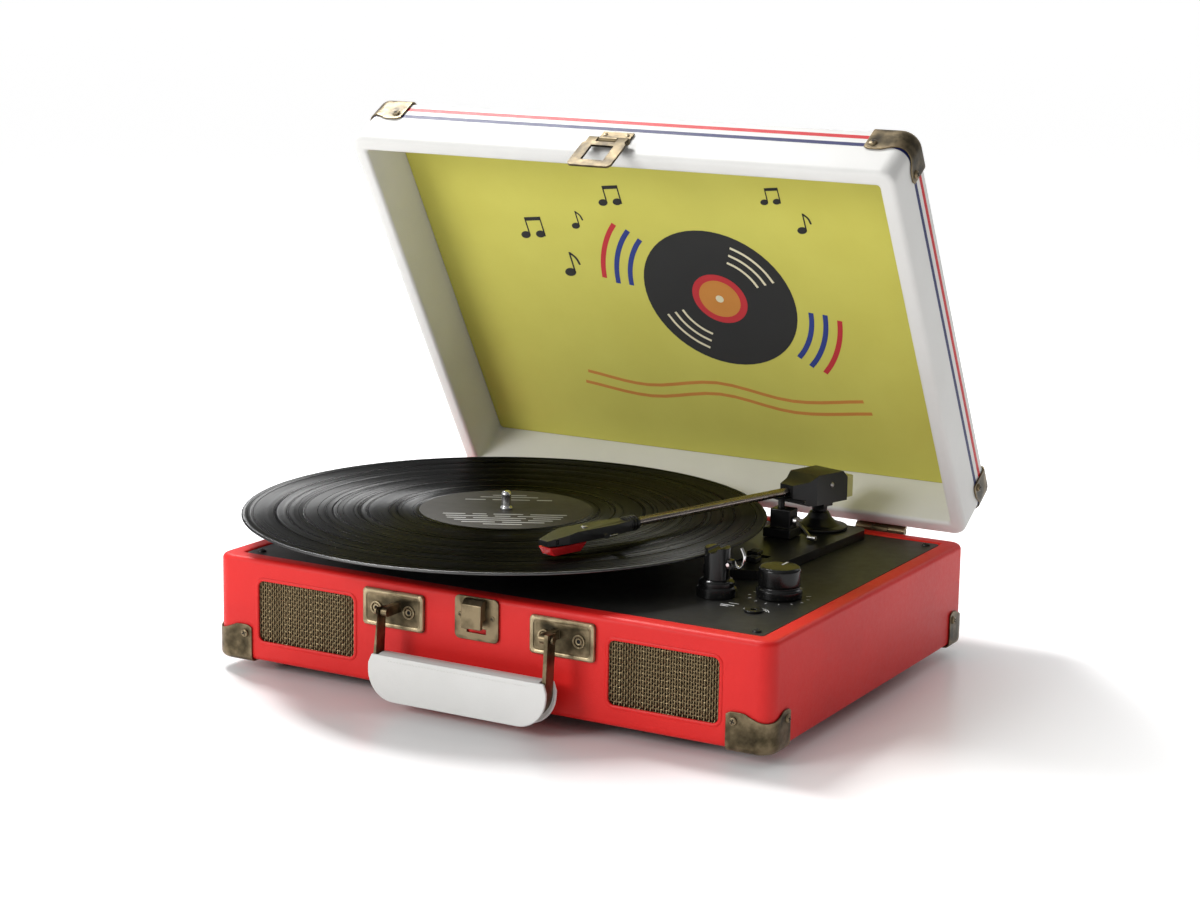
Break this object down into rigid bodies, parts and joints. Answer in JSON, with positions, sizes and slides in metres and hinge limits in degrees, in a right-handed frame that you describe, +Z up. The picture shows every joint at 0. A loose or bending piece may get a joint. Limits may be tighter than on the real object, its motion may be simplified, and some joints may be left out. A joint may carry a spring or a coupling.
{
  "type": "suitcase record player",
  "caption": "Portable suitcase record player with a hinged lid, belt-driven platter, lifting tonearm, front speakers and a carrying handle, its lid half open.",
  "frame": {"origin": "on the floor under the middle of the whole part's box, lid at rest", "axes": "+X to the listener's right, +Y to the hinge side, +Z up"},
  "size_m": [0.3754, 0.3431, 0.316],
  "materials": {
    "red_leatherette": "fine pebble grain",
    "white_leatherette": "fine pebble grain",
    "liner_print": "matt printed cloth",
    "aged_brass": "antique, worn edges",
    "grille_mesh": "woven, dull",
    "black_paper": "matt",
    "black_plastic": "satin, fine texture",
    "deck_finish": "matt, fine texture",
    "rubber": "matt",
    "cast_aluminium": "black painted, turned",
    "motor_steel": "plated",
    "chrome": "bright",
    "dark_chrome": "smoked",
    "record_vinyl": "grooved, glossy",
    "stylus_red": "clear gloss",
    "board": "black fibreboard"
  },
  "bodies": {
    "case": {"base_case": "red_leatherette", "base_floor": "board", "foot_fl": "rubber", "foot_fr": "rubber", "foot_bl": "rubber", "foot_br": "rubber", "base_corner_fl": "aged_brass", "base_corner_fr": "aged_brass", "base_corner_bl": "aged_brass", "base_corner_br": "aged_brass", "deck_plate": "deck_finish", "rear_panel": "black_plastic", "headphone_jack": "black_plastic", "speaker_grille_left": "grille_mesh", "speaker_grille_right": "grille_mesh", "speaker_driver_left": "black_paper", "speaker_driver_right": "black_paper", "handle_plate_left": "aged_brass", "handle_plate_right": "aged_brass", "latch_plate": "aged_brass", "latch_hook": "aged_brass", "hinge_base_leaf_left": "aged_brass", "hinge_base_leaf_right": "aged_brass", "motor": "motor_steel", "drive_belt": "rubber", "tonearm_plate": "black_plastic", "tonearm_turret": "black_plastic", "cue_block": "black_plastic", "arm_rest": "black_plastic"},
    "lid": {"lid_shell": "white_leatherette", "lid_liner": "liner_print", "lid_corner_fl": "aged_brass", "lid_corner_fr": "aged_brass", "lid_corner_bl": "aged_brass", "lid_corner_br": "aged_brass", "hasp_bracket": "aged_brass", "hinge_lid_leaf_left": "aged_brass", "hinge_lid_leaf_right": "aged_brass"},
    "hasp": {"hasp_loop": "aged_brass"},
    "handle": {"handle_strap": "aged_brass", "handle_grip": "white_leatherette"},
    "platter": {"platter": "cast_aluminium", "platter_mat": "rubber", "record": "record_vinyl", "spindle": "chrome"},
    "motor_pulley": {"motor_pulley": "aged_brass"},
    "arm_yoke": {"arm_yoke": "chrome"},
    "arm": {"arm_housing": "black_plastic", "arm_weight": "cast_aluminium", "arm_tube": "dark_chrome", "headshell": "black_plastic", "cartridge": "black_plastic", "stylus": "stylus_red", "finger_lift": "chrome"},
    "cue_lever": {"cue_lever": "chrome"},
    "cue_bar": {"cue_bar": "chrome"},
    "arm_clip": {"arm_clip": "chrome"},
    "volume_knob": {"volume_knob": "black_plastic"},
    "speed_switch": {"speed_switch": "black_plastic"},
    "autostop_switch": {"autostop_switch": "black_plastic"}
  },
  "joints": [
    {"name": "lid_hinge", "type": "hinge", "parent": "case", "child": "lid", "pos_m": [0.01155, 0.13775, 0.0675], "axis": [-1, 0, 0], "range_deg": [-39, 41]},
    {"name": "hasp_pivot", "type": "hinge", "parent": "lid", "child": "hasp", "pos_m": [0.01155, 0.00647, 0.30151], "axis": [-1, 0, 0], "range_deg": [0, 110]},
    {"name": "handle_pivot", "type": "hinge", "parent": "case", "child": "handle", "pos_m": [0.01155, -0.14075, 0.054], "axis": [-1, 0, 0], "range_deg": [-11, 84]},
    {"name": "platter_spin", "type": "hinge", "parent": "case", "child": "platter", "pos_m": [-0.03695, -0.02075, 0.08], "axis": [0, 0, -1], "continuous": true},
    {"name": "pulley_spin", "type": "hinge", "parent": "case", "child": "motor_pulley", "pos_m": [-0.08995, 0.03225, 0.078], "axis": [0, 0, -1], "continuous": true},
    {"name": "arm_swing", "type": "hinge", "parent": "case", "child": "arm_yoke", "pos_m": [0.10555, 0.10225, 0.098], "axis": [0, 0, 1], "range_deg": [-19, 20.8]},
    {"name": "arm_lift", "type": "hinge", "parent": "arm_yoke", "child": "arm", "pos_m": [0.10555, 0.10225, 0.098], "axis": [-0.9593, 0.2823, 0], "range_deg": [0, 5]},
    {"name": "cue_lever_turn", "type": "hinge", "parent": "case", "child": "cue_lever", "pos_m": [0.10345, 0.06963, 0.082], "axis": [-1, 0, 0], "range_deg": [0, 36.1]},
    {"name": "cue_bar_rise", "type": "slide", "parent": "case", "child": "cue_bar", "axis": [0, 0, 1], "range_m": [0, 0.00305]},
    {"name": "arm_clip_turn", "type": "hinge", "parent": "case", "child": "arm_clip", "pos_m": [0.12545, -0.05445, 0.085], "axis": [0, 1, 0], "range_deg": [-30, 12]},
    {"name": "volume_turn", "type": "hinge", "parent": "case", "child": "volume_knob", "pos_m": [0.14755, -0.03875, 0.075], "axis": [0, 0, -1], "range_deg": [0, 280]},
    {"name": "speed_slide", "type": "slide", "parent": "case", "child": "speed_switch", "axis": [1, 0, 0], "range_m": [0, 0.006]},
    {"name": "autostop_slide", "type": "slide", "parent": "case", "child": "autostop_switch", "axis": [1, 0, 0], "range_m": [-0.006, 0]}
  ],
  "couplings": [
    {"joint": "pulley_spin", "follows": "platter_spin", "ratio": 10},
    {"joint": "cue_lever_turn", "follows": "arm_lift", "ratio": 7.2},
    {"joint": "cue_bar_rise", "follows": "arm_lift", "m_per_rad": 0.03438}
  ]
}
